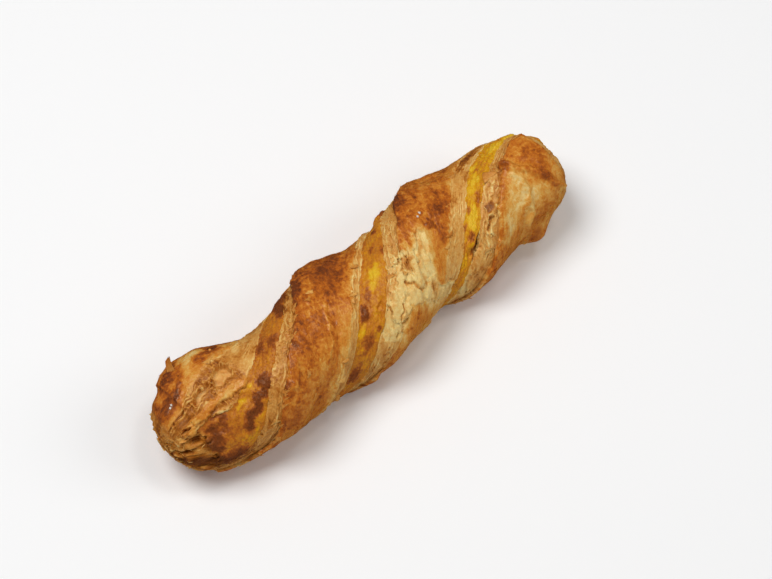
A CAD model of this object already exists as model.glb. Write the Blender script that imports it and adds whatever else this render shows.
"""The looks of a filled puff pastry stick: two sheets of laminated dough with a cheese filling between
them, twisted together about the long axis and baked lying down.

Shapes are worked out in millimetres and degrees, as the solids are, and meshes are made in metres.
The phase runs round the section and turns with the twisted strip. The angle is measured round the
lying stick from straight up towards the front. The facing angle is measured the same way, but from
the side that faces the camera.
"""
import math

import bmesh
import bpy
import numpy as np
from mathutils import Matrix, Vector


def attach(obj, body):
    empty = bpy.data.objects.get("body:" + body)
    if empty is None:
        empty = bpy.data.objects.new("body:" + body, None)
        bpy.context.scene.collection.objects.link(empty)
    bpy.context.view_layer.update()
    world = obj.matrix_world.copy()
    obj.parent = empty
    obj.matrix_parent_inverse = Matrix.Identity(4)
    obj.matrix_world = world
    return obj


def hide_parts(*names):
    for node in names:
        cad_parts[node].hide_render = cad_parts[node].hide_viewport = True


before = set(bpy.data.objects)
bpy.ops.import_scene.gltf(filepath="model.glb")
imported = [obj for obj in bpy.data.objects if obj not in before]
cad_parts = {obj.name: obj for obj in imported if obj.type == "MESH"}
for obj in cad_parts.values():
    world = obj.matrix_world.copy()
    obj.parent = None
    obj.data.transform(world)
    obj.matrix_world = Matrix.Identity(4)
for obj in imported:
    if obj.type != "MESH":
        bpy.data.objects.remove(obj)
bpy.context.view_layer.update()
METRES = 0.001

# The photograph's frame and view
IMAGE_WIDTH = 772
IMAGE_HEIGHT = 579
MM_PER_PIXEL = 0.3673  # at the stick's middle
MIDDLE_PIXEL = (365.6, 302.1)  # where the stick's middle lies in the picture
CAMERA_AZIMUTH = -40.0
CAMERA_ELEVATION = 63.8
CAMERA_DISTANCE = 1000.0
SENSOR_WIDTH = 36.0

# The whole stick, as in the solids
LENGTH = 184.0
MIDDLE = -2.0  # place where the stick is fullest and its twist is centred
MEAN_RADIUS = 21.6
OVAL = 1.8
OVAL_PHASE = 58.0
FULLEST = 1.04
SLIMMING = 0.12
SLIMMING_ROUND = 12.0
LEFT_DOME = (22.0, 0.5)  # length and power of the round left end
RIGHT_DOME = (16.0, 0.22)  # and of the blunt right end
FILLING_SWELL = 3.0
END_SLANT = 4.2
END_SLANT_LENGTH = 30.0
LEFT_TIP = -LENGTH / 2
RIGHT_TIP = LENGTH / 2 - FILLING_SWELL
AXIS_HEIGHT = 19.6
AXIS_SHIFT = (-0.53, -0.57)  # brings the middle of the stick's box to the origin
AXIS_LIE = [(-92, 1.8), (-68, 2.4), (-44, -3.1), (-20, -0.5), (4, -1.0), (28, 2.2), (52, 2.4), (92, 3.6)]
PHASE_ON_TOP = 172.5
TWIST_RATE = 3.38
TWIST_RATE_END = 0.9
TWIST_STEADY = 42.0
TWIST_SLACK = 84.0
FLOOR_ROUND = 0.7  # softness of the flattened underside's edge

# Phases of the sheets along the stick: layered edge, lip, crust, rim, layered edge
SHEETS = {
    "pastry_sheet_one": {
        "start": [(-64, 46), (-52, 27), (-45, 29), (-32, 47), (-20, 45), (10, 20), (36, 13)],
        "lip": [
            (-62, 68), (-51, 49), (-42, 50), (-30, 67), (-20, 61), (-2, 53), (48, 47), (60, 34), (78, 26),
        ],
        "rim": [(0, 157)],
        "end": [(-30, 180), (-12, 169), (10, 166)],
    },
    "pastry_sheet_two": {
        "start": [(-20, 214), (-8, 207), (4, 211), (16, 208), (30, 200)],
        "lip": [(0, 237)],
        "rim": [(-74, 298), (-48, 321), (40, 322), (66, 317)],
        "end": [(-78, 334), (-66, 358), (-48, 358), (0, 352), (31, 356), (46, 349), (64, 342)],
    },
}
EDGE_WANDER = {  # degrees and millimetres
    "start": (2.6, 7.0), "lip": (3.4, 9.0), "rim": (2.4, 6.0), "end": (2.6, 6.0),
}

# Coarse relief, as in the solids
EDGE_DROP_FILLING = 1.5
EDGE_DROP_LIP = 0.7
LIP_RISE = 1.0
LIP_FADE = 9.0
FILLING_DROP_START = 2.2
FILLING_DROP_END = 1.1
WAVE = 0.3
WAVES = [(46, 2, 0), (26, -3, 75), (74, 1, 0)]
LUMP_X, LUMP_PHASE, LUMP_HEIGHT, LUMP_REACH = 69.0, 140.0, 4.2, 4.5
BOW = 0.62

# Fine relief, which only these meshes have
LIP_THICKNESS = 0.9
LIP_OVERHANG = 0.4
UNDERCUT = 0.2
FILLING_CLING = 0.5  # brings the filling level with the dough next to it
FILLING_CLING_FADE = 0.9
LAYER_PITCH = 1.05  # of the dough's layers on a layered edge
LAYER_DEPTH = 0.42
FAN_PITCH = 1.4  # where the layers fan out at the left end
FAN_DEPTH = 0.8
TORN_PITCH = 3.4
END_PITCH = 1.5
ROOT_DEPTH = 4.5  # how deep the sheets' edges go on under the filling
ROOT_REACH = 2.5  # and how many degrees
FILLING_REACH = 5.0  # degrees that the filling goes on under the sheets
FILLING_DIVE = 2.2  # and how deep

# Browning, from 0 for pale to 1 for burnt
SKIN_BROWN = 0.49
LAYER_BROWN = 0.41
BARE_BROWN = 0.08
POCKET_BROWN = 0.42
END_BROWN = (0.64, 0.46)  # of the left and the right end face
CAP_BROWN = 0.73
INNER_BROWN = 0.3
BURNT_FROM = 0.6
BURNT_SPAN = 0.37
OVEN_ANGLE = math.radians(35)  # the side that browned most

# Fineness of the meshes
STATIONS = 760
THICK_COLUMNS = 48
CRUST_COLUMNS = 100
CRUST_SPACING = 1.25  # closer near the lip
THIN_COLUMNS = 50
ROOT_COLUMNS = 3
FILLING_COLUMNS = 72
END_ROWS = 34
FILLING_END_ROWS = 64
INNER_COLUMNS = 6
RIM_SIZE = 0.86


# Small tools

def along(table, x):
    """Value at x of a short list of (place, value), joined by soft steps."""
    places, values = np.array(table, float).T
    if len(places) == 1:
        return np.full_like(x, values[0])
    n = np.clip(np.searchsorted(places, x) - 1, 0, len(places) - 2)
    return lerp(values[n], values[n + 1], smooth(places[n], places[n + 1], x))


def smooth(low, high, value):
    """A soft step from 0 at low to 1 at high."""
    t = np.clip((value - low) / (high - low), 0, 1)
    return t * t * (3 - 2 * t)


def lerp(a, b, t):
    return a + (b - a) * t


NOISE_TABLE = np.random.default_rng(11).permutation(256)
NOISE_SLOPES = np.random.default_rng(12).normal(size=(256, 3))
NOISE_SLOPES /= np.linalg.norm(NOISE_SLOPES, axis=1, keepdims=True)
NOISE_GAIN = 1.7
SEED_STEP = np.array([17.31, 41.77, 29.53])


def noise(u, v, w=0.0, seed=0):
    """Gradient noise from about -1 to 1. Its features are about one unit across."""
    point = np.stack(np.broadcast_arrays(u, v, w), axis=-1) + seed * SEED_STEP
    cell = np.floor(point).astype(int)
    part = point - cell
    blend = part ** 3 * (part * (part * 6 - 15) + 10)
    total = 0.0
    for corner in np.ndindex(2, 2, 2):
        key = (cell + corner) & 255
        pick = 0
        for axis in range(3):
            pick = NOISE_TABLE[(pick + key[..., axis]) & 255]
        weight = np.prod(np.where(corner, blend, 1 - blend), axis=-1)
        total = total + weight * np.sum(NOISE_SLOPES[pick] * (part - corner), axis=-1)
    return NOISE_GAIN * total


def rough(u, v, w=0.0, seed=0, octaves=3):
    """Noise with finer and finer features added to it."""
    total, size = 0.0, 1.0
    for n in range(octaves):
        total = total + size * noise(u / size, v / size, w / size, seed + 3 * n)
        size /= 2
    return total


def in_space(points, feature, seed, octaves=1):
    """Noise through space with features about so many millimetres across."""
    return rough(*np.moveaxis(points / feature, -1, 0), seed=seed, octaves=octaves)


def over(u, v, seed):
    """Noise over two coordinates, to be asked for by its features' sizes and a step of the seed."""
    def ask(size_u, size_v, step, octaves=1):
        return rough(u / size_u, v / size_v, seed=seed + step, octaves=octaves)
    return ask


def bell(distance, reach):
    return np.exp(-(distance / reach) ** 2)


def fade(distance, reach):
    """1 up to a distance of 0, and less and less beyond."""
    return np.exp(-np.maximum(distance, 0) / reach)


def crests(value):
    """Turns noise into sharp crests, 1 at the crest and falling away on both sides."""
    return 1 - np.minimum(np.abs(value), 1)


CELL_PLACES = np.random.default_rng(13).random((256, 2))  # of each cell's middle


def cells(u, v, seed=0):
    """Cells about one unit across: how far inside its cell a place is, from 0 on a wall to about 1,
    and a number from 0 to 1 that belongs to the cell."""
    cell_u, cell_v = np.floor(u).astype(int), np.floor(v).astype(int)
    first = np.full(np.broadcast(u, v).shape, np.inf)
    second = first.copy()
    own = np.zeros(first.shape)
    for step_u, step_v in np.ndindex(3, 3):
        near_u, near_v = cell_u + step_u - 1, cell_v + step_v - 1
        key = NOISE_TABLE[(NOISE_TABLE[(near_u + 31 * seed) & 255] + near_v) & 255]
        away = np.hypot(u - near_u - CELL_PLACES[key, 0], v - near_v - CELL_PLACES[key, 1])
        nearest = away < first
        second = np.where(nearest, first, np.minimum(second, away))
        own = np.where(nearest, key / 255, own)
        first = np.minimum(first, away)
    return second - first, own


def add_object(name, data):
    made = bpy.data.objects.new(name, data)
    bpy.context.scene.collection.objects.link(made)
    return made


# The stick's form

def round_mm(degrees):
    """Millimetres round the stick for an angle."""
    return np.radians(degrees) * MEAN_RADIUS


def axis_y(x):
    return AXIS_SHIFT[1] + along(AXIS_LIE, x)


def twist(x):
    """Degrees that the strip has turned between the twist's middle and x."""
    reach = np.abs(x - MIDDLE)
    span = TWIST_SLACK - TWIST_STEADY
    t = np.clip((reach - TWIST_STEADY) / span, 0, 1)
    steady = TWIST_RATE * np.minimum(reach, TWIST_STEADY)
    slackening = span * (TWIST_RATE * t - (TWIST_RATE - TWIST_RATE_END) * (t ** 3 - t ** 4 / 2))
    return np.sign(x - MIDDLE) * (steady + slackening + TWIST_RATE_END * np.maximum(reach - TWIST_SLACK, 0))


def twist_rate(x):
    t = smooth(TWIST_STEADY, TWIST_SLACK, np.abs(x - MIDDLE))
    return lerp(TWIST_RATE, TWIST_RATE_END, t)


def slope(x):
    """Tangent of the angle between the bands and the stick's axis."""
    return MEAN_RADIUS * np.radians(twist_rate(x))


def size(x):
    return FULLEST - SLIMMING * np.hypot(x - MIDDLE, SLIMMING_ROUND) / (LENGTH / 2)


def dome_share(depth, end):
    """Share of the full section at a distance in from an end's tip."""
    length, power = end
    t = np.clip(depth / length, 0, 1)
    return (1 - (1 - t) ** 2) ** power


def dome(x):
    return dome_share(x - LEFT_TIP, LEFT_DOME) * dome_share(RIGHT_TIP - x, RIGHT_DOME)


def dome_depth(share, end):
    length, power = end
    return length * (1 - np.sqrt(1 - share ** (1 / power)))


def oval(phase):
    return MEAN_RADIUS + OVAL * np.cos(2 * np.radians(phase - OVAL_PHASE))


def waves(x, phase):
    angles = (360 * x / length + turns * phase + start for length, turns, start in WAVES)
    return WAVE * sum(np.sin(np.radians(angle)) for angle in angles)


def lump(x, phase):
    away = np.hypot(x - LUMP_X, round_mm(wrapped(phase - LUMP_PHASE)))
    return LUMP_HEIGHT * bell(away, LUMP_REACH)


def wrapped(degrees):
    return (degrees + 180) % 360 - 180


def section_radius(x, phase, relief):
    """Distance of the surface from the axis, with the rounded ends."""
    return dome(x) * (oval(phase) * size(x) + relief + waves(x, phase) + lump(x, phase))


def in_stick(x, turned, flat):
    """Points in the lying stick from flat section points that are turned by so many degrees."""
    angle = np.arctan2(flat[..., 1], flat[..., 0]) - np.radians(PHASE_ON_TOP + turned)
    radius = np.hypot(flat[..., 0], flat[..., 1])
    y = axis_y(x) - radius * np.sin(angle)
    z = AXIS_HEIGHT + radius * np.cos(angle)
    slant = END_SLANT * radius * np.sin(angle) / MEAN_RADIUS
    right = AXIS_SHIFT[0] + x + slant * smooth(RIGHT_TIP - END_SLANT_LENGTH, RIGHT_TIP, x)
    return np.stack([right, y, z], axis=-1)


def flat_points(phase, radius):
    turn = np.radians(phase)
    return np.stack([radius * np.cos(turn), radius * np.sin(turn)], axis=-1)


def onto_floor(points):
    """Flattens what would go under the floor, with a soft edge."""
    z = points[..., 2]
    flattened = points.copy()
    flattened[..., 2] = (z + np.sqrt(z * z + FLOOR_ROUND ** 2)) / 2
    return flattened


# Stations along the stick, between the rims of its end faces
LEFT_RIM = LEFT_TIP + dome_depth(RIM_SIZE, LEFT_DOME)
RIGHT_RIM = RIGHT_TIP - dome_depth(RIM_SIZE, RIGHT_DOME)
X = np.linspace(LEFT_RIM, RIGHT_RIM, STATIONS)
STRETCH = np.sqrt(1 + slope(X) ** 2)
BAND = np.cumsum(STRETCH * (X[1] - X[0]))  # distance along the bands
ACROSS = MEAN_RADIUS / STRETCH * math.pi / 180  # millimetres across a band for each degree


def edges(name):
    """The phases of a sheet's start, lip, rim and end at each station, ragged as dough is."""
    seed = 100 + 50 * list(SHEETS).index(name)
    result = {}
    for n, (key, (amount, length)) in enumerate(EDGE_WANDER.items()):
        stray = noise(BAND / length, 0.5, seed=seed + n)
        stray = stray + 0.4 * noise(BAND / length * 3.7, 0.5, seed=seed + 10 + n)
        result[key] = along(SHEETS[name][key], X) + amount * stray
    return result


EDGES = {name: edges(name) for name in SHEETS}


# The camera looks at the side that the photograph shows

AZIMUTH, ELEVATION = math.radians(CAMERA_AZIMUTH), math.radians(CAMERA_ELEVATION)
TO_RIGHT = Vector((math.cos(AZIMUTH), math.sin(AZIMUTH), 0))
TO_CAMERA = Vector((math.sin(AZIMUTH) * math.cos(ELEVATION), -math.cos(AZIMUTH) * math.cos(ELEVATION),
                    math.sin(ELEVATION)))
TO_TOP = TO_CAMERA.cross(TO_RIGHT)
FACING = math.degrees(math.atan2(-TO_CAMERA.y, TO_CAMERA.z))


def add_camera():
    data = bpy.data.cameras.new("camera")
    data.sensor_width = SENSOR_WIDTH
    data.lens = SENSOR_WIDTH * CAMERA_DISTANCE / (IMAGE_WIDTH * MM_PER_PIXEL)
    camera = add_object("camera", data)
    right = (IMAGE_WIDTH / 2 - MIDDLE_PIXEL[0]) * MM_PER_PIXEL
    up = (MIDDLE_PIXEL[1] - IMAGE_HEIGHT / 2) * MM_PER_PIXEL
    middle = Vector((*AXIS_SHIFT, AXIS_HEIGHT))
    place = middle + right * TO_RIGHT + up * TO_TOP + CAMERA_DISTANCE * TO_CAMERA
    turn = Matrix((TO_RIGHT, TO_TOP, TO_CAMERA)).transposed().to_4x4()
    camera.matrix_world = Matrix.Translation(place * METRES) @ turn
    bpy.context.scene.camera = camera


# Marks that the oven and the baker's hands left on the facing side: place along the stick,
# facing angle, length along the band, width across it, strength

BROWNED = [
    # left end, its rim and the browned hollow below the strand
    (-79, -74, 5, 2.5, 0.28), (-86, -52, 4, 4, 0.2), (-59, -69, 4, 2.5, 0.22), (-65, -54, 3, 2.5, 0.22),
    (-56, -87, 8, 4, 0.2), (-75, -55, 2.5, 2, 0.25), (-78, -49, 3, 2, 0.2), (-81, -48, 3, 3, 0.2),
    (-84, -40, 4, 3, 0.25), (-83, -28, 3, 1.5, 0.15), (-89, -66, 4, 6, 0.22), (-89, 64, 4, 4, 0.35),
    (-86, 57, 3, 2.5, 0.3), (-82, 62, 4, 3, 0.35), (-79, 70, 11, 5, 0.5), (-88, 64, 6, 5, 0.35),
    (-75, 64, 3, 2, 0.3), (-80, -63, 8, 2.2, 0.2), (-74, 5, 2.5, 1.2, 0.25), (-73, 16, 3, 2, 0.3),
    (-73, 27, 2.5, 2, 0.3), (-78, 22, 2.5, 2.5, 0.35), (-79, 36, 4, 3.5, 0.5), (-78, 46, 2, 2, 0.35),
    # first band of filling
    (-28, -70, 6, 4, 0.65), (-31, -54, 4, 2.5, 0.35), (-46, -41, 3.5, 2, 0.35),
    (-42, -34, 4, 2.5, 0.25), (-53, 0, 3.5, 2.6, 0.5), (-58, 12, 4, 2.2, 0.5), (-62, 28, 6, 2, 0.5),
    (-66, 36, 4, 1.4, 0.2),
    # first broad crust
    (-20, -59, 6, 2, 0.3), (-24, -48, 4, 1.6, 0.3), (-8, -65, 12, 8, 0.14), (1, -59, 8, 6, 0.06),
    (-30, -24, 1.2, 0.8, 0.35), (-33, -20, 1, 0.7, 0.3), (-52, 45, 7, 3, 0.18), (-42, 69, 14, 6, 0.12),
    # second band of filling
    (10, -46, 2, 1.3, 0.3), (12, -34, 2, 1.2, 0.25), (-8, 5, 2.2, 1.7, 0.5), (-4, -5, 3, 1.6, 0.25),
    (-10, 10, 1.6, 1.3, 0.45), (-8, 27, 1.3, 1, 0.4), (-14, 37, 5, 2, 0.2), (-22, 66, 5, 2.5, 0.4),
    (24, -83, 3, 2.5, 0.45), (16, -61, 2, 1.5, 0.4),
    # second broad crust
    (29, -56, 5, 2.5, 0.32), (38, -62, 6, 3, 0.1), (32, -18, 2, 1.6, 0.25), (34, 0, 3, 2.2, 0.25),
    (44, -32, 7, 5, 0.14), (38, -18, 6, 4, 0.18), (-10, -50, 12, 9, 0.16),
    # third band of filling and the right end
    (42, 19, 2, 1.2, 0.4), (43, 8, 1.5, 1, 0.3), (47, -7, 1.5, 1, 0.3), (56, -44, 5, 1.3, 0.3),
    (61, -41, 2, 1.2, 0.25), (60, -69, 6, 2.2, 0.4), (68, -81, 6, 3, 0.4), (87, -72, 4, 3, 0.3),
    (52, -8, 5, 1, 0.2), (41, 31, 5, 1.4, 0.25), (82, -43, 2, 1.5, 0.5), (54.6, 6, 2.6, 1.8, 0.42),
    (79, -8, 7, 6, 0.16), (80, 10, 4, 3, 0.2), (66, -16, 5, 1.3, 0.25), (80, 22, 3, 5, 0.12),
    (69, 54, 8, 4, 0.18), (61, 80, 8, 5, 0.1), (69, 85, 5, 5, 0.2),
]
PALE = [
    (-69, -1, 3, 1.5, 0.12), (-67, 7, 3, 2, 0.12), (-66, 14, 2, 2, 0.1), (-68, 25, 2, 1.5, 0.2),
    (-71, -56, 3, 2, 0.2), (-71, -44, 2.5, 1.5, 0.1), (-69, -65, 2.5, 1.5, 0.2), (-66, -78, 5, 3, 0.3),
    (-54, -75, 5, 2, 0.22), (-50, -77, 4, 2, 0.2), (-51, -61, 6, 2, 0.22), (-20, -43, 1.2, 1, 0.25),
    (-22, -37, 1.2, 0.8, 0.25), (-32, 17, 8, 5, 0.1), (-46, 14, 3, 2, 0.15), (-54, -26, 5, 3, 0.15),
    (64, 16, 14, 9, 0.16), (65, 3, 5, 3, 0.1), (60, 20, 6, 4, 0.12), (55, 32, 6, 3, 0.12),
    (73, 22, 4, 5, 0.12), (66, 17, 5, 1.6, 0.25), (21, -10, 4, 1.4, 0.2), (45.4, 38, 3, 2, 0.25),
    (54, 39, 4, 3, 0.15), (40.6, -40, 2.5, 1.5, 0.2), (-65, -71, 5, 3, 0.25), (83, 40, 3, 3, 0.2),
    (-85, -60, 3, 2, 0.2),
]
YELLOW = [
    (4, -22, 3.5, 2, 0.32), (0, -10, 3, 1.6, 0.35), (-13, 21, 4, 1.6, 0.3), (-62, 36, 4, 1.5, 0.15),
    (-68, 54, 6, 4, 0.15), (-64, 12, 2.5, 1.2, 0.35), (-59, -2, 2, 1, 0.3), (-67, 4, 4, 2.5, 0.15),
    (47, 1, 5, 2, 0.35), (45, 13, 3, 1.6, 0.3), (57, -30, 5, 1.5, 0.3), (61, -50, 4, 1.5, 0.25),
    (70, -35, 5, 3, 0.25), (72, -52, 4, 2.5, 0.25), (80, -53, 3, 2.5, 0.3),
]
TOASTED = [
    (15, -4, 3, 2, 0.5), (17, 19, 2.5, 1.3, 0.25), (19, 34, 3, 1.7, 0.4), (9, 36, 3.5, 2.2, 0.42),
    (2, 12, 3, 1, 0.2), (23, 35, 2, 1, 0.4), (5, 0, 2, 1, 0.2), (22, -4, 4, 1, 0.25),
]
HOLLOWS = [
    (-77, 26, 5, 4, 0.9), (15, -25, 3, 1.5, 1.2), (52, -8, 5, 1.1, 0.9), (43, 29, 4, 1.3, 1.3),
    (39, 36, 3, 1.3, 1.0), (46, -75, 5, 4, 1.2), (13, -11, 1.5, 0.7, 0.9), (7, 17, 1.8, 0.7, 0.9),
    (2, 34, 2, 0.8, 1.0), (-3, 13, 4, 0.7, 0.9), (-3, 43, 2, 0.8, 1.0), (27, 47, 0.8, 1.2, 0.9),
]
POCKETS = [
    (-63, -27, 5.5, 3, 1.0), (-73, -23, 4.5, 2, 0.9), (-85, -1, 2.5, 2, 0.6), (-84, 22, 3, 3, 0.7),
    (51, 20, 4, 1.2, 0.5), (-89, 38, 2.5, 2.5, 0.6),
]
SWELLINGS = [
    (-46, 14, 2.5, 2, 0.7), (-42, 3, 3, 2, 0.5), (32, -18, 1.6, 1.4, 0.6), (62, -18, 3.5, 2.2, 0.8),
    (23, -82, 4, 3, 1.1), (16, -61, 2, 2, 0.5), (-28, -70, 4, 3, 0.8), (-8, 5, 2, 1.6, 0.6),
    (-10, 10, 1.5, 1.2, 0.5), (-53, 0, 3, 2, 0.4), (-82, 62, 6, 3, 0.7), (-76, 64, 3, 2, 0.6),
]

# Lines and an outline on the facing side, by places along the stick and facing angles
TORN = [
    (12, -25), (15, -18), (20, -7), (26, -19), (28, -15), (23, 19), (23, 38), (26, 45), (34, 66), (31, 92),
    (15, 42), (13, 36), (7, 23), (3, 32), (-2, 51), (-9, 44), (-6, 27), (1, 9), (6, -6),
]
TORN_SHEET, TORN_LIP = "pastry_sheet_two", (-11, 13)  # where its crust has no lip left
FILLING_BROWNING = [(-45, 0.54), (-14, 0.46), (20, 0.46), (40, 0.36)]
STRAND = [(-84, 4), (-81, -2), (-76, -3), (-71, -4), (-65, -6), (-59, -8), (-55, -12)]
TONGUE = [(32, -4), (30, 3), (26, 17), (24, 24), (23, 37)]

# Lines with their half width, height and browning
LINES = [
    ([(67, -20), (72, -6), (76, 6), (80, 22), (84, 42)], 1.5, 1.5, 0.1),
    ([(68, -15), (69, 2), (69, 17), (67, 30), (65, 48), (64, 86)], 1.5, 1.2, -0.08),
    ([(-19, -25), (-20, -14), (-23, 0), (-25, 10), (-29, 19)], 0.5, 0.35, -0.15),
    ([(-19, -9), (-21, 8), (-25, 28), (-24, 55)], 0.9, -0.4, 0.08),
    ([(57, 6), (51, 16), (49, 30)], 0.4, 0.5, -0.2),
    ([(57, 6), (53, 21), (49, 30)], 0.4, 0.5, -0.2),
    ([(10, 7), (12, 15), (14, 24)], 0.4, -1.2, 0.4),
    ([(8, -9), (8, -3)], 0.35, -0.9, 0.3),
    ([(4, 21), (1, 30)], 0.35, -0.9, 0.3),
    ([(-64, 25), (-66, 33), (-67, 47)], 1.2, 0.2, 0.25),
]


def chart(points, seed):
    """Millimetres along the stick and down the facing side, bent a little so that marks are uneven."""
    def bend(n):
        return 1.3 * in_space(points, 5, seed + n) + 0.5 * in_space(points, 1.7, seed + 2 + n)

    x, y, z = np.moveaxis(points, -1, 0)
    x = x - AXIS_SHIFT[0]
    facing = wrapped(np.degrees(np.arctan2(axis_y(x) - y, z - AXIS_HEIGHT)) - FACING)
    return x + bend(0), round_mm(facing) + bend(1)


def marks(place, table, stray=0.0):
    """Sum of oval marks that lie along the bands, soft or, by a stray field, with ragged edges."""
    total = np.zeros(place[0].shape)
    for x, facing, length, width, strength in table:
        tangent = slope(np.array(float(x)))
        scale = math.sqrt(1 + tangent ** 2)
        right, down = place[0] - x, place[1] - round_mm(facing)
        lengthwise = (right - tangent * down) / scale
        crosswise = (tangent * right + down) / scale
        share = np.exp(-(lengthwise / length) ** 2 - (crosswise / width) ** 2)
        total += strength * smooth(0.12, 0.85, share + stray * np.minimum(4 * share, 1))
    return total


def steps(line):
    """Pairs of neighbouring corners of a line, in millimetres."""
    corners = [(x, round_mm(facing)) for x, facing in line]
    return zip(corners, corners[1:])


def near(place, line):
    """Distance in millimetres from a bent line."""
    best = np.full(place[0].shape, np.inf)
    for (x0, y0), (x1, y1) in steps(line):
        right, down = x1 - x0, y1 - y0
        t = ((place[0] - x0) * right + (place[1] - y0) * down) / (right ** 2 + down ** 2)
        t = np.clip(t, 0, 1)
        best = np.minimum(best, np.hypot(place[0] - x0 - t * right, place[1] - y0 - t * down))
    return best


def inside(place, outline):
    """Distance in millimetres inward from a closed outline, negative outside it."""
    closed = outline + outline[:1]
    within = np.zeros(place[0].shape, bool)
    for (x0, y0), (x1, y1) in steps(closed):
        level = (y0 > place[1]) != (y1 > place[1])
        within ^= level & (place[0] < x0 + (place[1] - y0) * (x1 - x0) / (y1 - y0))
    return np.where(within, 1, -1) * near(place, closed)


def drawn(place):
    """Height of the swellings, hollows and lines, and the lines' browning."""
    height = marks(place, SWELLINGS) - marks(place, HOLLOWS)
    brown = np.zeros(height.shape)
    for line, half_width, line_height, line_brown in LINES:
        share = bell(near(place, line), half_width)
        height += line_height * share
        brown += line_brown * share
    return height, brown


# Relief and browning of the dough

def lamination(s, w, seed, pitch, airy):
    """The dough's layers seen on edge, with gaps between them and, where the dough is airy, bubbles:
    height from about -1 to 1, how hollow and how raised."""
    def by_number(number, coarse, fine, step):
        ask = over(number, s, seed + step)
        return ask(1, coarse, 0) + 0.4 * ask(1, fine, 1)

    band = over(s, w, seed)
    stray = 1.5 * band(11, 5, 0) + 0.35 * band(3.5, 2, 1)
    order = w / pitch + stray
    layer, joint = np.floor(order), np.floor(order + 0.5)
    crest = 1 - (2 * (order - layer) - 1) ** 2
    proud = by_number(3.71 * layer, 7, 2.4, 2)
    parted = by_number(5.13 * joint, 5, 1.7, 4)
    gap = smooth(0.15, 0.8, parted) * (1 - smooth(0.08, 0.35, np.abs(order - joint)))
    within, own = cells(s / 1.8 + 0.5 * stray, 0.8 * order, seed + 6)
    airy = airy * smooth(-0.3, 0.3, band(8, 4, 8))
    bubble = airy * smooth(0.1, 0.5, within) * smooth(0.35, 0.8, own)
    wall = airy * (1 - smooth(0.0, 0.2, within))
    crisp = 0.2 + 0.8 * smooth(-0.3, 0.4, band(9, 3, 9))
    line = smooth(0.7, 1.0, crest) * smooth(-0.5, 0.3, proud)
    height = crisp * (0.45 * proud + 0.2 * crest + 0.15 * line - 0.45 * gap) - 0.8 * bubble + 0.15 * wall
    height += 0.3 * band(3, 2.2, 10)
    hollow = crisp * (0.5 * gap + 0.3 * smooth(0.0, -0.7, proud)) + 0.6 * bubble
    return height, hollow, crisp * line + 0.4 * wall


def torn_dough(s, w, seed):
    """Chunks of torn dough with fibres along the band: height, how hollow and how near a chunk's edge."""
    band = over(s, w, seed)
    stray = 0.5 * band(3, 3, 0) + 0.2 * band(1, 1, 1)
    within, own = cells(s / 8 + stray, w / TORN_PITCH + stray, seed + 2)
    fibre = noise(s / 5, w / 0.8 + stray, seed=seed + 3)
    crack = (1 - smooth(0.02, 0.12, within)) * smooth(0.0, 0.4, band(5, 5, 4))
    height = 1.1 * own + 0.5 * band(4, 2.5, 5) + 0.08 * fibre - 0.5 * crack
    hollow = crack + 0.2 * smooth(0.1, 0.8, -fibre) + 0.3 * smooth(0.35, 0.0, own)
    return height, hollow, bell(within - 0.2, 0.1)


def capped(brown):
    """Browning that slows towards a burnt brown."""
    above = np.maximum(brown - BURNT_FROM, 0)
    return np.clip(np.minimum(brown, BURNT_FROM) + BURNT_SPAN * np.tanh(above / BURNT_SPAN), 0, 1)


class Surface:
    """A grid of surface points with the fields that the relief and the looks are made from."""

    def __init__(self, points, x, phase):
        self.points = points
        self.x = x
        self.phase = phase

    def displaced(self):
        """The points moved along the surface's normals by the fine relief, and set on the floor."""
        normal = np.cross(np.gradient(self.points, axis=1), np.gradient(self.points, axis=0))
        normal /= np.maximum(np.linalg.norm(normal, axis=-1, keepdims=True), 1e-9)
        return onto_floor(self.points + normal * self.relief[..., None])


def inner_curve(start, end, t):
    """Points from one corner of a flat section to another, bowed in towards the axis."""
    t = t[..., None]
    return lerp(start, end, t) * (1 - BOW * 4 * t * (1 - t))


def end_face(flat, side, blend, swell=0.0):
    """Points of an end face, domed out from its rim, and their places along the stick. The blend is 0
    on the rim and rises inward."""
    left = LEFT_TIP, LEFT_RIM, LEFT_DOME
    right = RIGHT_TIP, RIGHT_RIM, RIGHT_DOME
    tip, rim, end = left if side < 0 else right
    phase = np.degrees(np.arctan2(flat[..., 1], flat[..., 0]))
    share = np.hypot(flat[..., 0], flat[..., 1]) / (oval(phase) * size(rim))
    out = tip - side * dome_depth(np.minimum(share, RIM_SIZE), end) + side * swell * smooth(0, 0.6, blend)
    place = lerp(rim, out, smooth(0, 0.3, blend))
    return in_stick(place, twist(rim), flat), place


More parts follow.
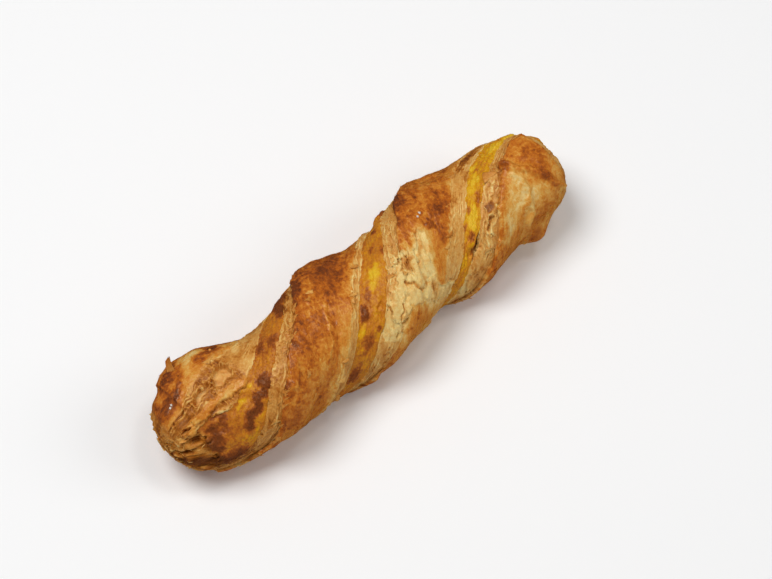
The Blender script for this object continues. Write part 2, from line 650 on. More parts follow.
def sheet_columns(edge, whole):
    """Phases and coarse relief of a sheet's columns at each station, with their zones. Whole is 0 where
    the lip of the crust is torn off."""
    whole, across, band = whole[:, None], ACROSS[:, None], BAND[:, None]
    start, lip, rim, end = (edge[key][:, None] for key in EDGE_WANDER)
    root = np.linspace(1, 0, ROOT_COLUMNS, endpoint=False)[None]
    t = np.linspace(0, 1, THICK_COLUMNS)[None]
    c = np.linspace(0, 1, CRUST_COLUMNS)[None] ** CRUST_SPACING
    n = np.linspace(0, 1, THIN_COLUMNS + 1)[None, 1:]
    from_lip = c * (rim - lip) * across
    ragged = 0.8 + 0.7 * noise(band / 5, 0.3, seed=31) + 0.5 * noise(band / 1.7, 0.3, seed=32)
    overhang = whole * LIP_OVERHANG * ragged * np.exp(-from_lip / 2.2)
    undercut = whole * UNDERCUT * smooth(0.75, 1.0, t) * (0.8 + 0.5 * noise(band / 6, 0.7, seed=33))
    lip_drop = lerp(EDGE_DROP_LIP + LIP_RISE, LIP_THICKNESS, whole) * bell(from_lip, lerp(3.0, 0.35, whole))
    sunk = -EDGE_DROP_FILLING - (ROOT_DEPTH - EDGE_DROP_FILLING) * root + 0 * start
    phases = [
        start - ROOT_REACH * root,
        lerp(start, lip, t),
        lerp(lip, rim, c) - overhang / across,
        lerp(rim, end, n),
        end + ROOT_REACH * root[:, ::-1],
    ]
    reliefs = [
        sunk,
        -lerp(EDGE_DROP_FILLING, EDGE_DROP_LIP, t) - undercut,
        LIP_RISE * np.exp(-from_lip / LIP_FADE) - lip_drop,
        -EDGE_DROP_FILLING * n + 0 * start,
        sunk[:, ::-1],
    ]
    zone = np.repeat(np.arange(len(phases)), [part.shape[1] for part in phases])
    return np.concatenate(phases, axis=1), np.concatenate(reliefs, axis=1), zone


THICK, CRUST = 1, 2  # zones: root, thick edge, crust, thin edge, root


def sheet_surface(name):
    """The outer face of a sheet with both its end faces, as one grid."""
    edge = EDGES[name]
    whole = 1 - smooth(TORN_LIP[0] - 4, TORN_LIP[0], X) * smooth(TORN_LIP[1] + 4, TORN_LIP[1], X)
    phase, coarse, zone = sheet_columns(edge, whole if name == TORN_SHEET else np.ones(STATIONS))
    columns = len(zone)
    x = np.repeat(X[:, None], columns, axis=1)
    flat = flat_points(phase, section_radius(x, phase, coarse))
    depth = np.linspace(1, 0, END_ROWS, endpoint=False)[:, None]
    ends = []
    for side, n in ((-1, 0), (1, -1)):
        inner = inner_curve(flat[n, 0], flat[n, -1], np.linspace(0, 1, columns))
        face = lerp(flat[n], inner, depth[..., None])
        away = side * np.linalg.norm(face - flat[n], axis=-1)
        ends.append([*end_face(face, side, depth), np.repeat(phase[n][None], END_ROWS, axis=0), away])
    left, right = ends
    middle = [in_stick(x, twist(x), flat), x, phase, np.zeros(x.shape)]
    runs = zip(left, middle, [part[::-1] for part in right])
    *parts, beyond = (np.concatenate(group) for group in runs)
    surface = Surface(*parts)
    dress_sheet(surface, edge, zone, beyond, 200 + 60 * list(SHEETS).index(name))
    return surface


def dress_sheet(surface, edge, zone, beyond, seed):
    """Fine relief, layering and browning of a sheet. Beyond is how far onto an end face a point is,
    negative at the left end."""
    points, x, phase = surface.points, surface.x, surface.phase
    rows = np.clip(np.arange(len(x)) - END_ROWS, 0, STATIONS - 1)
    across = ACROSS[rows][:, None]
    s = BAND[rows][:, None] + beyond
    start, lip, rim, end = (edge[key][rows][:, None] for key in EDGE_WANDER)
    from_lip = (phase - lip) * across
    past_rim = (phase - rim) * across
    from_filling = np.minimum(phase - start, end - phase) * across
    thick = zone <= THICK
    band = over(s, from_lip, seed)
    place = surface.place = chart(points, seed)
    mottle = in_space(points, 6, seed + 5, 3)
    grain = in_space(points, 1.3, seed + 9, 2)

    # where the skin is torn off or ends
    torn_by = inside(place, TORN) + 0.6 * mottle + 0.5 * grain - 4 * bell(near(place, TONGUE), 1.8)
    torn = smooth(-0.3, 0.3, torn_by) * (zone >= THICK)
    skin_end = smooth(-0.25, 0.25, past_rim + 0.9 * noise(s / 2.4, past_rim / 1.5, seed=seed + 12))
    strand = smooth(2.6, 1.4, near(place, STRAND) + 0.6 * grain)
    on_edge = np.where(thick, 1.0, skin_end) * (1 - strand)
    on_end = np.where(beyond < 0, smooth(6, 8, -beyond), smooth(0.8, 2.2, beyond))

    # the layers, which fan out at the left end
    fan = smooth(-50, -64, x) * (zone >= CRUST)
    w = np.where(thick, (phase - start) * across, past_rim)
    pitch = lerp(LAYER_PITCH, FAN_PITCH, fan)
    edge_height, edge_hollow, edge_raised = lamination(s, w, seed + 15, pitch, np.where(thick, 0.8, fan))
    around = round_mm(phase)
    end_height, end_hollow, end_raised = lamination(around, np.abs(beyond), seed + 25, END_PITCH, 0.7)
    torn_height, torn_hollow, torn_rim = torn_dough(s, from_lip, seed + 35)
    bowl = marks(place, POCKETS, 0.1 * grain + 0.3 * in_space(points, 2.8, seed + 60))
    pocket = smooth(0.3, 0.6, bowl)
    pocket_rim = bell(bowl - 0.22, 0.12) * np.minimum(bowl * 5, 1)
    edge_height = lerp(LAYER_DEPTH, FAN_DEPTH, fan) * edge_height * (1 - 0.85 * pocket)

    # the skin: swellings, wrinkles along the band, blisters and grain
    streak = 0.6 * band(13, 1.4, 45) + 0.5 * band(6, 0.6, 44)
    wrinkle = crests(band(16, 3.2, 46)) ** 4
    puff = 0.45 * band(15, 7, 47) + 0.14 * in_space(points, 4, seed + 48)
    within, own = cells(s / 5 + 0.3 * grain, from_lip / 4, seed + 49)
    blister = smooth(0.25, 0.9, within) * smooth(0.62, 0.95, own)
    vein = crests(in_space(points, 2.4, seed + 52) + 0.2 * grain) ** 8
    crinkle = crests(band(3, 1.2, 58) + 0.3 * grain) ** 3
    freckle = smooth(-0.1, 0.5, in_space(points, 2.6, seed + 57, 3))
    patch = band(7, 4, 50, 3)
    skin_height = puff + 0.02 * streak + 0.08 * wrinkle + 0.18 * blister + 0.03 * grain + 0.8 * strand
    skin_height += 0.06 * crinkle - 0.1 * vein + 0.05 * smooth(0.0, 0.06, patch)

    drawn_height, drawn_brown = drawn(place)
    height = lerp(skin_height, edge_height + 0.08 * grain, on_edge)
    height = lerp(height, torn_height - 0.5 + 0.12 * grain, torn)
    height = lerp(height, 0.7 * end_height + 0.1 * grain, on_end)
    surface.relief = height + drawn_height + 0.5 * pocket_rim - 2.8 * pocket

    # browning of the skin
    angle = np.radians(wrapped(phase - PHASE_ON_TOP - twist(x)))
    right_end = smooth(54, 64, x)
    calm = 1 - 0.6 * right_end
    skin = SKIN_BROWN + 0.1 * calm * mottle + 0.04 * streak + 0.1 * np.cos(angle + OVEN_ANGLE)
    skin += 0.1 * smooth(-0.1, 0.1, patch) - 0.08 * bell(patch, 0.05)
    skin += 0.1 * band(25, 7, 53) + 0.12 * blister
    skin += 0.12 * smooth(-0.6, -0.9, np.cos(angle))
    skin += 0.2 * fade(from_lip, 2.5) * (0.8 + 0.6 * noise(s / 12, 0.2, seed=seed + 54))
    skin -= 0.26 * fade(-past_rim, 3.0)
    burnt = smooth(0.4, 0.62, skin)
    skin += lerp(0.05, 0.15, burnt) * calm * (freckle - 0.4) + lerp(0.05, 0.08, burnt) * grain
    skin -= 0.2 * burnt * vein
    skin -= 0.08 * (crinkle - 0.3) * smooth(0.7, 0.4, skin)
    skin -= 0.3 * bell(from_lip, 0.4) * smooth(-0.3, 0.3, noise(s / 9, 0.7, seed=seed + 59))
    skin -= 0.13 * right_end + 0.3 * smooth(-4.0, 0.0, torn_by)

    # browning of the layers, the end faces and the bare dough
    toast = smooth(0.0, 0.5, rough(s / 6, w / 3.5, seed=seed + 55))
    layered = LAYER_BROWN + 0.08 * mottle + 0.09 * grain + 0.12 * toast + 0.22 * fan + 0.04 * thick
    layered += 0.25 * edge_hollow - np.where(thick, 0.36, lerp(0.3, 0.56, fan)) * edge_raised
    layered += 0.13 * smooth(-10, -35, x) + 0.06 * smooth(40, 50, x) * thick
    layered -= 0.25 * fade(from_filling, 0.5) + 0.2 * bell(past_rim, 0.5)
    layered = lerp(layered, POCKET_BROWN + 0.2 * mottle + 0.08 * grain, pocket) - 0.15 * pocket_rim
    ends = np.where(beyond < 0, *END_BROWN) + 0.2 * mottle + 0.2 * end_hollow - 0.18 * end_raised
    bare = BARE_BROWN + 0.13 * mottle + 0.09 * grain + 0.3 * torn_hollow + 0.04 * torn_rim
    bare += marks(place, TOASTED, 0.3 * grain)
    brown = lerp(lerp(lerp(skin, layered, on_edge), bare, torn), ends, on_end) + drawn_brown
    brown += marks(place, BROWNED, 0.2 * grain + 0.15 * mottle) - marks(place, PALE, 0.08 * grain)
    surface.brown = capped(brown)
    surface.layered = np.clip(np.maximum(np.maximum(on_edge, on_end), torn), 0, 1)
    surface.on_layers = (zone == THICK) & (torn < 0.1) & (on_end < 0.1)


def filling_ring(first, last):
    """Phases and coarse relief of one edge of the filling at each station, from first to last."""
    first, last, across = first[:, None], last[:, None], ACROSS[:, None]
    t = np.linspace(0, 1, FILLING_COLUMNS)[None]
    phase = lerp(first - FILLING_REACH, last + FILLING_REACH, t)
    share = (phase - first) / (last - first)
    dive = smooth(0.0, 1.0, -share * 6) + smooth(0.0, 1.0, (share - 1) * 6)
    drop = lerp(FILLING_DROP_START, FILLING_DROP_END, np.clip(share, 0, 1)) + FILLING_DIVE * dive
    width = (last - first) * across
    cling = fade(share * width, FILLING_CLING_FADE) - fade((1 - share) * width, FILLING_CLING_FADE)
    return phase, FILLING_CLING * cling - drop


def filling_surface():
    """The filling's two edges and two end faces, as one band that runs round the stick's outline."""
    one, two = (EDGES[name] for name in SHEETS)
    phase_a, coarse_a = filling_ring(one["end"], two["start"])
    phase_b, coarse_b = filling_ring(two["end"], one["start"] + 360)
    x = np.repeat(X[:, None], FILLING_COLUMNS, axis=1)
    flat_a = flat_points(phase_a, section_radius(x, phase_a, coarse_a))
    flat_b = flat_points(phase_b, section_radius(x, phase_b, coarse_b))[:, ::-1]
    phase_b = phase_b[:, ::-1]
    t = np.linspace(0, 1, FILLING_END_ROWS + 2)[1:-1, None]
    ends = []
    for side, n, swell in ((-1, 0, 0.0), (1, -1, FILLING_SWELL)):
        face = inner_curve(flat_a[n], flat_b[n], t)
        near_middle = 4 * np.minimum(t, 1 - t)
        ends.append([*end_face(face, side, near_middle, swell), lerp(phase_a[n], phase_b[n], t)])
    left, right = ends
    edge_a = in_stick(x, twist(x), flat_a), x, phase_a
    edge_b = in_stick(x, twist(x), flat_b), x, phase_b
    runs = [edge_a, right, [part[::-1] for part in edge_b], [part[::-1] for part in left]]
    surface = Surface(*(np.concatenate(group) for group in zip(*runs)))
    dress_filling(surface)
    return surface


def dress_filling(surface):
    """Lumps, grain and browning of the melted filling."""
    points, x = surface.points, surface.x
    place = chart(points, 500)
    around = round_mm(surface.phase)
    mottle = in_space(points, 7, 514, 3)
    grain = in_space(points, 0.9, 510, 2)
    lumps = in_space(points, 4, 504, 3)
    within, own = cells(x / 2.6 + 0.35 * grain, around / 2.6 + 0.5 * mottle, 508)
    curd = lerp(0.5, 1.0, smooth(15, 40, x)) * smooth(0.0, 0.5, within) * (0.4 + 0.6 * own)
    spots = smooth(0.25, 0.7, in_space(points, 3.5, 518) + 0.2 * grain)
    streak = rough(x / 5, around / 1.6, seed=520)
    ragged = 0.12 * grain + 0.22 * in_space(points, 2.6, 522, 3)
    burnt = marks(place, BROWNED, ragged)
    drawn_height, drawn_brown = drawn(place)
    relief = 0.32 * lumps + 0.45 * curd + 0.08 * grain + drawn_height
    brown = along(FILLING_BROWNING, x) + 0.1 * mottle + 0.05 * spots + 0.08 * streak
    brown += 0.09 * grain - 0.14 * curd + 1.1 * burnt + drawn_brown

    # baked flakes close over the filling at the left end
    closed = smooth(-78, -82, x + 3 * mottle)
    outward = np.hypot(points[..., 1] - axis_y(x), points[..., 2] - AXIS_HEIGHT)
    flake_height, flake_hollow, flake_raised = lamination(around, outward, 530, FAN_PITCH, 1.0)
    pocket = smooth(0.3, 0.6, marks(place, POCKETS, 0.1 * grain))
    flakes = CAP_BROWN + 0.16 * mottle + 0.3 * flake_hollow + 0.1 * pocket + burnt
    flakes -= 0.6 * flake_raised * smooth(0.5, 0.1, burnt)
    surface.relief = lerp(relief, 1.7 * FAN_DEPTH * flake_height - 2.4 * pocket, closed)
    surface.brown = capped(lerp(brown, flakes, closed) - marks(place, YELLOW, ragged))
    surface.layered = closed


# Meshes

def numbered(shape, first=0):
    """A grid of vertex numbers."""
    return first + np.arange(shape[0] * shape[1]).reshape(shape[:2])


def grid_quads(index):
    """Quads of a grid of vertex numbers that face away from the axis."""
    corners = [index[:-1, :-1], index[:-1, 1:], index[1:, 1:], index[1:, :-1]]
    return np.stack(corners, axis=-1).reshape(-1, 4)


def ring_quads(index):
    """Quads of a grid whose last column joins its first."""
    return grid_quads(np.concatenate([index, index[:, :1]], axis=1)).tolist()


def zip_rows(first, second):
    """Triangles between two rows of vertex numbers that share their ends."""
    faces = []
    a = b = 0
    while a < len(first) - 1 or b < len(second) - 1:
        ahead = (a + 1) / (len(first) - 1) <= (b + 1) / (len(second) - 1)
        if b == len(second) - 1 or (ahead and a < len(first) - 1):
            faces.append((first[a], first[a + 1], second[b]))
            a += 1
        else:
            faces.append((first[a], second[b + 1], second[b]))
            b += 1
    return [face for face in faces if len(set(face)) == 3]


def make_piece(name, points, faces, fields, material, turned=False):
    """A closed, smooth piece in metres that carries its fields as vertex attributes. Turned says that
    its faces look outward already."""
    tidy = [tuple(dict.fromkeys(face)) for face in faces]
    tidy = [face for face in tidy if len(face) > 2]
    mesh = bpy.data.meshes.new(name)
    mesh.from_pydata((points * METRES).tolist(), [], tidy)
    for key, values in fields.items():
        mesh.attributes.new(key, "FLOAT", "POINT").data.foreach_set("value", values.astype(np.float32))
    work = bmesh.new()
    work.from_mesh(mesh)
    bmesh.ops.delete(work, geom=[vertex for vertex in work.verts if not vertex.link_faces], context="VERTS")
    if not turned:
        bmesh.ops.recalc_face_normals(work, faces=work.faces)
    work.to_mesh(mesh)
    work.free()
    mesh.polygons.foreach_set("use_smooth", np.ones(len(mesh.polygons), bool))
    mesh.materials.append(material)
    return add_object(name, mesh)


def inner_points(first, second):
    """Points between two rows of surface points, bowed in towards the axis."""
    x = first[:, 0]
    axis = np.stack([x, axis_y(x - AXIS_SHIFT[0]), np.full(len(x), AXIS_HEIGHT)], axis=-1)
    t = np.linspace(0, 1, INNER_COLUMNS + 1)[1:-1][None, :, None]
    between = lerp(first[:, None], second[:, None], t)
    return lerp(between, axis[:, None], BOW * 4 * t * (1 - t))


def make_band(name, surface, stack, faces, inner_layered, material):
    """A piece from a surface's points and the inner points that follow them."""
    blank = np.ones(len(stack) - surface.x.size)
    fields = {
        "brown": np.concatenate([surface.brown.ravel(), INNER_BROWN * blank]),
        "layered": np.concatenate([surface.layered.ravel(), inner_layered * blank]),
    }
    return make_piece(name, stack, faces, fields, material)


def make_sheet(name, material):
    surface = sheet_surface(name)
    points = surface.displaced()
    index = numbered(points.shape)
    first, last = END_ROWS, END_ROWS + STATIONS - 1
    for column in (0, -1):
        index[:first, column] = index[first, column]
        index[last + 1:, column] = index[last, column]
    body = slice(first, last + 1)
    inner = inner_points(points[body, -1], points[body, 0])
    inner_index = numbered(inner.shape, index.size)
    inner_index = np.concatenate([index[body, -1:], inner_index, index[body, :1]], axis=1)
    faces = grid_quads(index).tolist() + grid_quads(inner_index).tolist()
    for row in (0, -1):
        faces += zip_rows(index[row, ::-1], inner_index[row])
    stack = np.concatenate([points.reshape(-1, 3), inner.reshape(-1, 3)])
    piece = make_band(name.replace("pastry", "flaky"), surface, stack, faces, 1.0, material)
    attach(piece, "root")
    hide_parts(name)
    return surface, points


def make_filling(material):
    surface = filling_surface()
    points = surface.displaced()
    index = numbered(points.shape)
    faces = grid_quads(np.concatenate([index, index[:1]])).tolist()
    stack = points.reshape(-1, 3)
    back = STATIONS + FILLING_END_ROWS
    for column in (0, -1):
        front, far = index[:STATIONS, column], index[back:back + STATIONS, column][::-1]
        inner = inner_points(stack[front], stack[far])
        inner_index = numbered(inner.shape, len(stack))
        inner_index = np.concatenate([front[:, None], inner_index, far[:, None]], axis=1)
        right = np.concatenate([front[-1:], index[STATIONS:back, column], far[-1:]])
        left = np.concatenate([front[:1], index[back + STATIONS:, column][::-1], far[:1]])
        faces += grid_quads(inner_index).tolist()
        faces += zip_rows(right, inner_index[-1]) + zip_rows(left, inner_index[0])
        stack = np.concatenate([stack, inner.reshape(-1, 3)])
    piece = make_band("cheese", surface, stack, faces, 0.0, material)
    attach(piece, "root")
    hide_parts("filling")
    return surface, points


# Materials

MIX_A, MIX_B, MIX_RESULT = 6, 7, 2  # numbers of the mix node's colour sockets


class Nodes:
    """A material's node tree, with short ways to add to it."""

    def __init__(self, name):
        self.material = bpy.data.materials.new(name)
        self.material.use_nodes = True
        self.tree = self.material.node_tree
        self.shader = self.tree.nodes["Principled BSDF"]

    def add(self, kind, inputs=(), **settings):
        node = self.tree.nodes.new(kind)
        for key, value in settings.items():
            setattr(node, key, value)
        for key, value in dict(inputs).items():
            self.put(node.inputs[key], value)
        return node

    def put(self, socket, value):
        if isinstance(value, bpy.types.NodeSocket):
            self.tree.links.new(value, socket)
        else:
            socket.default_value = value

    def set(self, **values):
        """Values or links for the shader's own sockets, with _ for a space in their names."""
        for key, value in values.items():
            self.put(self.shader.inputs[key.replace("_", " ")], value)

    def scaled(self, value, factor, added):
        node = self.add("ShaderNodeMath", {0: value, 1: factor, 2: added}, operation="MULTIPLY_ADD")
        return node.outputs[0]

    def field(self, name):
        return self.add("ShaderNodeAttribute", attribute_name=name).outputs["Fac"]

    def noise(self, feature_mm, detail=3.0, roughness=0.55):
        place = self.add("ShaderNodeTexCoord").outputs["Object"]
        node = self.add("ShaderNodeTexNoise", {
            "Vector": place, "Scale": 1 / (feature_mm * METRES), "Detail": detail, "Roughness": roughness})
        return node.outputs["Fac"]

    def ramp(self, value, stops):
        node = self.add("ShaderNodeValToRGB", {"Fac": value})
        elements = node.color_ramp.elements
        while len(elements) < len(stops):
            elements.new(1.0)
        for element, (place, colour) in zip(elements, stops):
            element.position = place
            element.color = (*colour, 1)
        return node.outputs["Color"]

    def mix(self, factor, a, b):
        node = self.add("ShaderNodeMix", {0: factor, MIX_A: a, MIX_B: b}, data_type="RGBA")
        return node.outputs[MIX_RESULT]

    def bump(self, height, depth_mm):
        inputs = {"Height": height, "Distance": depth_mm * METRES, "Strength": 1.0}
        self.set(Normal=self.add("ShaderNodeBump", inputs).outputs["Normal"])


CRUST_COLOURS = [  # by browning
    (0.0, (0.78, 0.56, 0.22)), (0.2, (0.71, 0.385, 0.085)), (0.4, (0.62, 0.228, 0.027)),
    (0.6, (0.48, 0.128, 0.012)), (0.78, (0.31, 0.075, 0.011)), (0.9, (0.18, 0.044, 0.011)),
    (1.0, (0.115, 0.032, 0.012)),
]
LAYER_COLOURS = [
    (0.0, (0.81, 0.615, 0.245)), (0.25, (0.725, 0.43, 0.125)), (0.5, (0.62, 0.28, 0.055)),
    (0.75, (0.40, 0.122, 0.009)), (1.0, (0.14, 0.036, 0.009)),
]
CHEESE_COLOURS = [
    (0.0, (0.74, 0.46, 0.025)), (0.2, (0.67, 0.33, 0.007)), (0.42, (0.57, 0.205, 0.014)),
    (0.65, (0.39, 0.105, 0.014)), (0.82, (0.245, 0.06, 0.01)), (1.0, (0.14, 0.037, 0.01)),
]
GREASE_TINT = (1.0, 0.85, 0.6, 1)
SCATTER_SCALE = 0.0008  # metres
SPECKLE_SIZE = 0.6
GLOSS_SPREAD = 0.3
PASTRY_LOOK = {
    "colours": CRUST_COLOURS, "speckle": 0.58, "gloss_size": 2.5, "gloss": 0.15, "dull_layers": 0.12,
    "scatter": (1.0, 0.75, 0.5), "specular": 0.4, "bump_size": 0.6, "bump_detail": 3, "bump_depth": 0.1,
}
CHEESE_LOOK = {
    "colours": CHEESE_COLOURS, "speckle": 0.54, "gloss_size": 1.5, "gloss": 0.22, "dull_layers": 0.0,
    "scatter": (1.0, 0.75, 0.4), "specular": 0.25, "bump_size": 0.4, "bump_detail": 2, "bump_depth": 0.12,
}
SALT_COLOUR = (0.75, 0.7, 0.62, 1)


def baked_material(name, look, softness):
    """Dough or cheese that takes its browning and its layers from the mesh's fields."""
    nodes = Nodes(name)
    layered = nodes.field("layered")
    speckles = nodes.noise(SPECKLE_SIZE, detail=4, roughness=0.7)
    speckles = nodes.scaled(speckles, look["speckle"], -look["speckle"] / 2)
    brown = nodes.scaled(nodes.field("brown"), 1.0, speckles)
    colour = nodes.mix(layered, nodes.ramp(brown, look["colours"]), nodes.ramp(brown, LAYER_COLOURS))
    gloss = nodes.scaled(nodes.noise(look["gloss_size"]), GLOSS_SPREAD, look["gloss"])
    nodes.set(Base_Color=colour, Roughness=nodes.scaled(layered, look["dull_layers"], gloss),
              Subsurface_Weight=softness, Subsurface_Radius=look["scatter"], Subsurface_Scale=SCATTER_SCALE,
              Specular_IOR_Level=look["specular"], Specular_Tint=GREASE_TINT)
    nodes.bump(nodes.noise(look["bump_size"], detail=look["bump_detail"]), look["bump_depth"])
    return nodes.material


def plain_material(name, colour, roughness):
    nodes = Nodes(name)
    nodes.set(Base_Color=colour, Roughness=roughness)
    return nodes.material


# Loose flakes, threads, crumbs and grains of salt

FLAKE_ROWS, FLAKE_COLUMNS = 5, 7
FLAKE_THICKNESS = 0.12
FLAKES_AT_LIP, FLAKES_AT_RIM, FLAKES_ON_LAYERS = 80, 40, 60
FLAKE_LENGTH, FLAKE_WIDTH, FLAKE_LIFT = (1.6, 5.0), (0.7, 2.0), (-0.05, 0.2)
FLAKE_ROOT = 0.5
FLAKE_MARGIN = 12  # rows that are left free next to the end faces
FLAKE_CLEARANCE = 3.0  # and millimetres above the floor
FLAKE_BROWN = (0.25, 0.45)
BIG_FLAKES = [  # place, facing angle, direction from across the band to along it, length, width and lift
    (-75, -74, 90, 4, 4.2, 0.9), (-20, -43, 0, 3.5, 2.0, 0.15), (-23, -37, 0, 2.5, 1.6, 0.15),
    (-39, 15, 180, 4, 2.2, 0.1), (62, -19, 180, 7, 4.0, 0.1), (51, 22, 180, 6, 2.2, 0.35),
    (46, 40, 180, 5, 2.2, 0.3), (-84, 30, 0, 4, 2.5, 0.4),
]
CRUMBS = [  # place, facing angle, radius
    (-29, 84, 1.5), (-21, 80, 1.1), (5, 60, 0.6), (20, -66, 0.7), (-60, -70, 0.5),
]
CRUMB_BROWN = 0.4
SALT_GRAINS = [(30, -30), (31, -32), (-84, -42), (-83, -45)]
SALT_SIZE = 0.35
BALL_RINGS, BALL_SIDES = 7, 12
THREADS_ON_SHEET, THREADS_ON_CAP = 140, 30
THREAD_STEPS, THREAD_SIDES = 7, 6
THREAD_LENGTH, THREAD_LIFT, THREAD_RADIUS = (1.2, 3.5), (0.05, 0.25), (0.08, 0.15)
THREAD_BROWN = (0.25, 0.5)
THREAD_MARGIN = 4


def closed_shell(top, bottom):
    """Points and faces of a closed thin shape between two grids."""
    index = numbered(top.shape)
    rim = np.concatenate([index[0], index[1:, -1], index[-1, -2::-1], index[-2:0:-1, 0]])
    ahead = np.roll(rim, -1)
    walls = np.stack([rim, rim + index.size, ahead + index.size, ahead], axis=-1)
    quads = grid_quads(index)
    faces = np.concatenate([quads, quads[:, ::-1] + index.size, walls])
    return np.concatenate([top.reshape(-1, 3), bottom.reshape(-1, 3)]), faces.tolist()


def flake(origin, lengthwise, outward, upward, size, rng):
    """A thin, curled flake with ragged edges that is rooted at its origin."""
    length, width, lift = size
    u = np.linspace(-1, 1, FLAKE_COLUMNS)[None]
    v = np.linspace(0, 1, FLAKE_ROWS)[:, None]
    ragged = 1 + 0.2 * np.clip(rng.normal(size=(1, FLAKE_COLUMNS)), -2, 2) * (1 - u ** 2)
    a = length / 2 * u * (1 - 0.45 * v) + 0.15 * length * rng.uniform(-1, 1) * v
    b = width * v * (1 - 0.5 * u ** 2) * ragged - FLAKE_ROOT
    c = lift * width * v + 0.15 * rng.uniform(-1, 1) * width * v ** 2
    c = c + 0.08 * rng.normal(size=(1, FLAKE_COLUMNS)) * v
    thickness = FLAKE_THICKNESS * (1 - 0.6 * v)
    axes = zip((a, b, c), (lengthwise, outward, upward))
    top = origin + sum(part[..., None] * axis for part, axis in axes)
    return closed_shell(top, top - thickness[..., None] * upward)


def thread(origin, lengthwise, crosswise, upward, rng):
    """A thin, bent thread of dough that bridges the layers."""
    length, lift, radius = (rng.uniform(*limits) for limits in (THREAD_LENGTH, THREAD_LIFT, THREAD_RADIUS))
    turn = rng.normal(math.pi / 2, 0.8)
    forward = math.cos(turn) * lengthwise + math.sin(turn) * crosswise
    sideways = np.cross(upward, forward)
    t = np.linspace(0, 1, THREAD_STEPS)[:, None, None]
    angle = np.linspace(0, 2 * math.pi, THREAD_SIDES, endpoint=False)[None, :, None]
    middle = length * (t - 0.5) * forward + (lift * 4 * t * (1 - t) - radius) * upward
    middle = middle + 0.2 * length * rng.uniform(-1, 1) * np.sin(math.pi * t) * sideways
    ring = radius * (0.5 + 0.5 * np.sin(math.pi * t)) * (np.cos(angle) * sideways + np.sin(angle) * upward)
    index = numbered((THREAD_STEPS, THREAD_SIDES))
    caps = [index[0, ::-1].tolist(), index[-1].tolist()]
    return (origin + middle + ring).reshape(-1, 3), ring_quads(index) + caps


def ball(origin, radius, rng):
    """A lumpy closed ball."""
    up = np.linspace(0, math.pi, BALL_RINGS)[:, None]
    around = np.linspace(0, 2 * math.pi, BALL_SIDES, endpoint=False)[None]
    level = np.sin(up)
    unit = np.stack([level * np.cos(around), level * np.sin(around), np.cos(up) + 0 * around], axis=-1)
    lumps = 1 + 0.35 * noise(*np.moveaxis(unit * 1.6 + rng.uniform(0, 9, 3), -1, 0))
    index = numbered((BALL_RINGS, BALL_SIDES))
    index[0], index[-1] = index[0, 0], index[-1, 0]
    return (origin + radius * lumps[..., None] * unit).reshape(-1, 3), ring_quads(index)


def grain(origin, half, rng):
    """A small cube that is turned at random."""
    corners = np.array(list(np.ndindex(2, 2, 2))) * 2.0 - 1
    turn, _ = np.linalg.qr(rng.normal(size=(3, 3)))
    faces = [(0, 1, 3, 2), (4, 6, 7, 5), (0, 4, 5, 1), (2, 3, 7, 6), (0, 2, 6, 4), (1, 5, 7, 3)]
    return origin + half * corners * rng.uniform(0.7, 1.3, 3) @ turn, faces


def surface_axes(points, row, column, reach=3):
    """Unit vectors along and across a grid of points and out of it."""
    lengthwise = points[row + reach, column] - points[row - reach, column]
    crosswise = points[row, column + reach] - points[row, column - reach]
    upward = np.cross(crosswise, lengthwise)
    return [axis / np.linalg.norm(axis) for axis in (lengthwise, crosswise, upward)]


def nearest_spot(sheets, x, facing):
    """The sheet, row and column of the point that is nearest to a place on the facing side."""
    best = None
    for surface, points in sheets:
        away = np.hypot(surface.place[0] - x, surface.place[1] - round_mm(facing))
        away[:, :ROOT_COLUMNS + 3] = away[:, -ROOT_COLUMNS - 3:] = np.inf
        row, column = np.unravel_index(np.argmin(away), away.shape)
        if best is None or away[row, column] < best[0]:
            best = away[row, column], surface, points, row, column
    return best[1:]


def spot_point(sheets, x, facing):
    _, points, row, column = nearest_spot(sheets, x, facing)
    return points[row, column]


def make_loose(name, shapes, material, browns=(), layered=0.0, turned=False):
    """Many closed shapes as one piece, with the browning of each."""
    faces = []
    start = 0
    for points, shape in shapes:
        faces += [[n + start for n in face] for face in shape]
        start += len(points)
    fields = {}
    if browns:
        brown = [np.broadcast_to(value, len(points)) for value, (points, _) in zip(browns, shapes)]
        fields = {"brown": np.clip(np.concatenate(brown), 0, 1), "layered": np.full(start, layered)}
    points = onto_floor(np.concatenate([points for points, _ in shapes]))
    piece = make_piece(name, points, faces, fields, material, turned)
    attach(piece, "root")
    return piece


def flake_on(surface, points, row, column, turn, size, rng):
    """A flake rooted at a sheet's point, with its browning."""
    lengthwise, crosswise, upward = surface_axes(surface.points, row, column)
    outward = math.cos(math.radians(turn)) * crosswise + math.sin(math.radians(turn)) * lengthwise
    shape = flake(points[row, column], np.cross(outward, upward), outward, upward, size, rng)
    toasted = np.tile(np.repeat(np.linspace(0, 0.15, FLAKE_ROWS), FLAKE_COLUMNS), 2)
    return shape, np.clip(surface.brown[row, column], *FLAKE_BROWN) + rng.uniform(-0.08, 0.1) + toasted


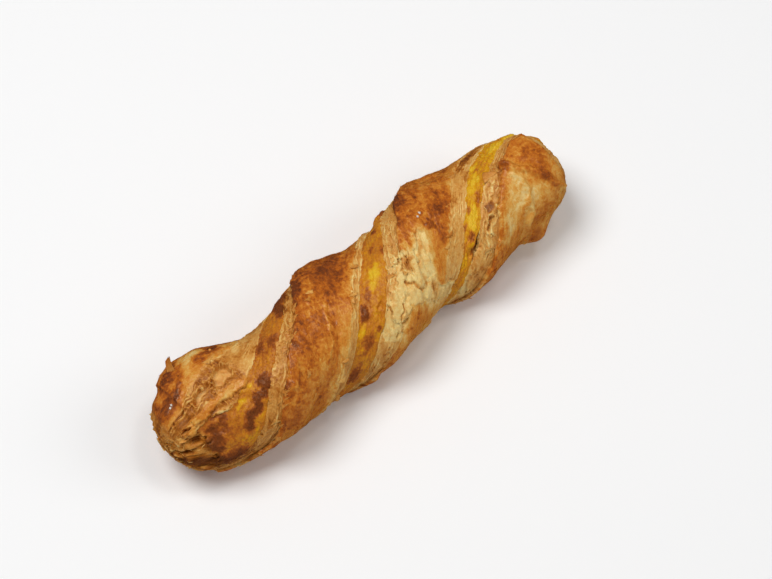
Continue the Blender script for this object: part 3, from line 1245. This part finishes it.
def make_flakes(sheets, material):
    """Thin flakes along the sheets' lips, rims and layers."""
    rng = np.random.default_rng(21)
    first_lip = ROOT_COLUMNS + THICK_COLUMNS
    first_thin = first_lip + CRUST_COLUMNS
    places = [
        (FLAKES_AT_LIP, first_lip + 1, first_lip + 4, 180),
        (FLAKES_AT_RIM, first_thin - 4, first_thin + 2, 0),
        (FLAKES_ON_LAYERS, ROOT_COLUMNS + 4, first_lip - 4, 180),
    ]
    flakes = []
    for surface, points in sheets:
        for count, low, high, turn in places:
            for _ in range(count):
                row = rng.integers(END_ROWS + FLAKE_MARGIN, END_ROWS + STATIONS - FLAKE_MARGIN)
                column = rng.integers(low, high)
                size = [rng.uniform(*limits) for limits in (FLAKE_LENGTH, FLAKE_WIDTH, FLAKE_LIFT)]
                if points[row, column, 2] > FLAKE_CLEARANCE:
                    flakes.append(flake_on(surface, points, row, column, turn, size, rng))
    for x, facing, turn, *size in BIG_FLAKES:
        flakes.append(flake_on(*nearest_spot(sheets, x, facing), turn, size, rng))
    shapes, browns = zip(*flakes)
    make_loose("loose_flakes", shapes, material, browns, 0.6, turned=True)


def make_threads(sheets, filling, material):
    """Threads that bridge the airy layers."""
    rng = np.random.default_rng(24)
    lip = ROOT_COLUMNS + THICK_COLUMNS
    places = [(*sheet, sheet[0].on_layers[:, :lip], THREADS_ON_SHEET) for sheet in sheets]
    places.append((*filling, filling[0].layered > 0.7, THREADS_ON_CAP))
    shapes, browns = [], []
    for surface, points, where, count in places:
        spots = np.argwhere(where)
        last = np.array(points.shape[:2]) - THREAD_MARGIN
        inner = ((spots >= THREAD_MARGIN) & (spots < last)).all(axis=1)
        for row, column in rng.choice(spots[inner], count):
            shapes.append(thread(points[row, column], *surface_axes(surface.points, row, column), rng))
            browns.append(rng.uniform(*THREAD_BROWN))
    make_loose("dough_threads", shapes, material, browns, 1.0, turned=True)


def make_crumbs(sheets, material):
    rng = np.random.default_rng(22)
    shapes = [ball(spot_point(sheets, x, facing), radius, rng) for x, facing, radius in CRUMBS]
    make_loose("crumbs", shapes, material, [CRUMB_BROWN] * len(shapes), 0.5)


def make_salt(sheets, material):
    rng = np.random.default_rng(23)
    shapes = [grain(spot_point(sheets, x, facing), SALT_SIZE, rng) for x, facing in SALT_GRAINS]
    piece = make_loose("salt", shapes, material)
    piece.data.polygons.foreach_set("use_smooth", np.zeros(len(piece.data.polygons), bool))


# Floor and light

FLOOR_HALF = 3.0
FLOOR_COLOUR = (0.93, 0.93, 0.93, 1)
WORLD_COLOUR = (1, 1, 1, 1)
WORLD_STRENGTH = 0.22
LIGHTS = [  # name, place and size in metres, watts, whether it shows as a reflection
    ("key", (-0.3, 0.3, 1.2), 0.7, 10.4, True),
    ("glint", (0.34, -0.1, 1.14), 0.25, 1.5, True),
    ("fill", (0.8, -0.7, 0.9), 0.8, 4, False),
]


def add_floor():
    mesh = bpy.data.meshes.new("floor")
    corners = [(x * FLOOR_HALF, y * FLOOR_HALF, 0) for x, y in ((-1, -1), (1, -1), (1, 1), (-1, 1))]
    mesh.from_pydata(corners, [], [(0, 1, 2, 3)])
    mesh.materials.append(plain_material("floor", FLOOR_COLOUR, 0.9))
    floor = add_object("floor", mesh)
    floor.visible_glossy = False


def add_light(name, place, size_m, watts, shines):
    data = bpy.data.lights.new(name, "AREA")
    data.shape = "DISK"
    data.size = size_m
    data.energy = watts
    light = add_object(name, data)
    light.location = place
    light.visible_glossy = shines
    light.rotation_euler = (-Vector(place)).to_track_quat("-Z", "Y").to_euler()


def add_world():
    world = bpy.data.worlds.new("studio")
    world.use_nodes = True
    background = world.node_tree.nodes["Background"]
    background.inputs["Color"].default_value = WORLD_COLOUR
    background.inputs["Strength"].default_value = WORLD_STRENGTH
    bpy.context.scene.world = world
    world.cycles_visibility.glossy = False


bpy.context.scene.view_settings.view_transform = "Standard"
add_camera()
add_floor()
add_world()
for light in LIGHTS:
    add_light(*light)
PASTRY = baked_material("baked_pastry", PASTRY_LOOK, 0.2)
THIN_PASTRY = baked_material("thin_pastry", PASTRY_LOOK, 0.0)
CHEESE = baked_material("baked_cheese", CHEESE_LOOK, 0.25)
SHEETS_MADE = [make_sheet(sheet_name, PASTRY) for sheet_name in SHEETS]
FILLING_MADE = make_filling(CHEESE)
make_flakes(SHEETS_MADE, THIN_PASTRY)
make_threads(SHEETS_MADE, FILLING_MADE, THIN_PASTRY)
make_crumbs(SHEETS_MADE, THIN_PASTRY)
make_salt(SHEETS_MADE, plain_material("salt", SALT_COLOUR, 0.3))
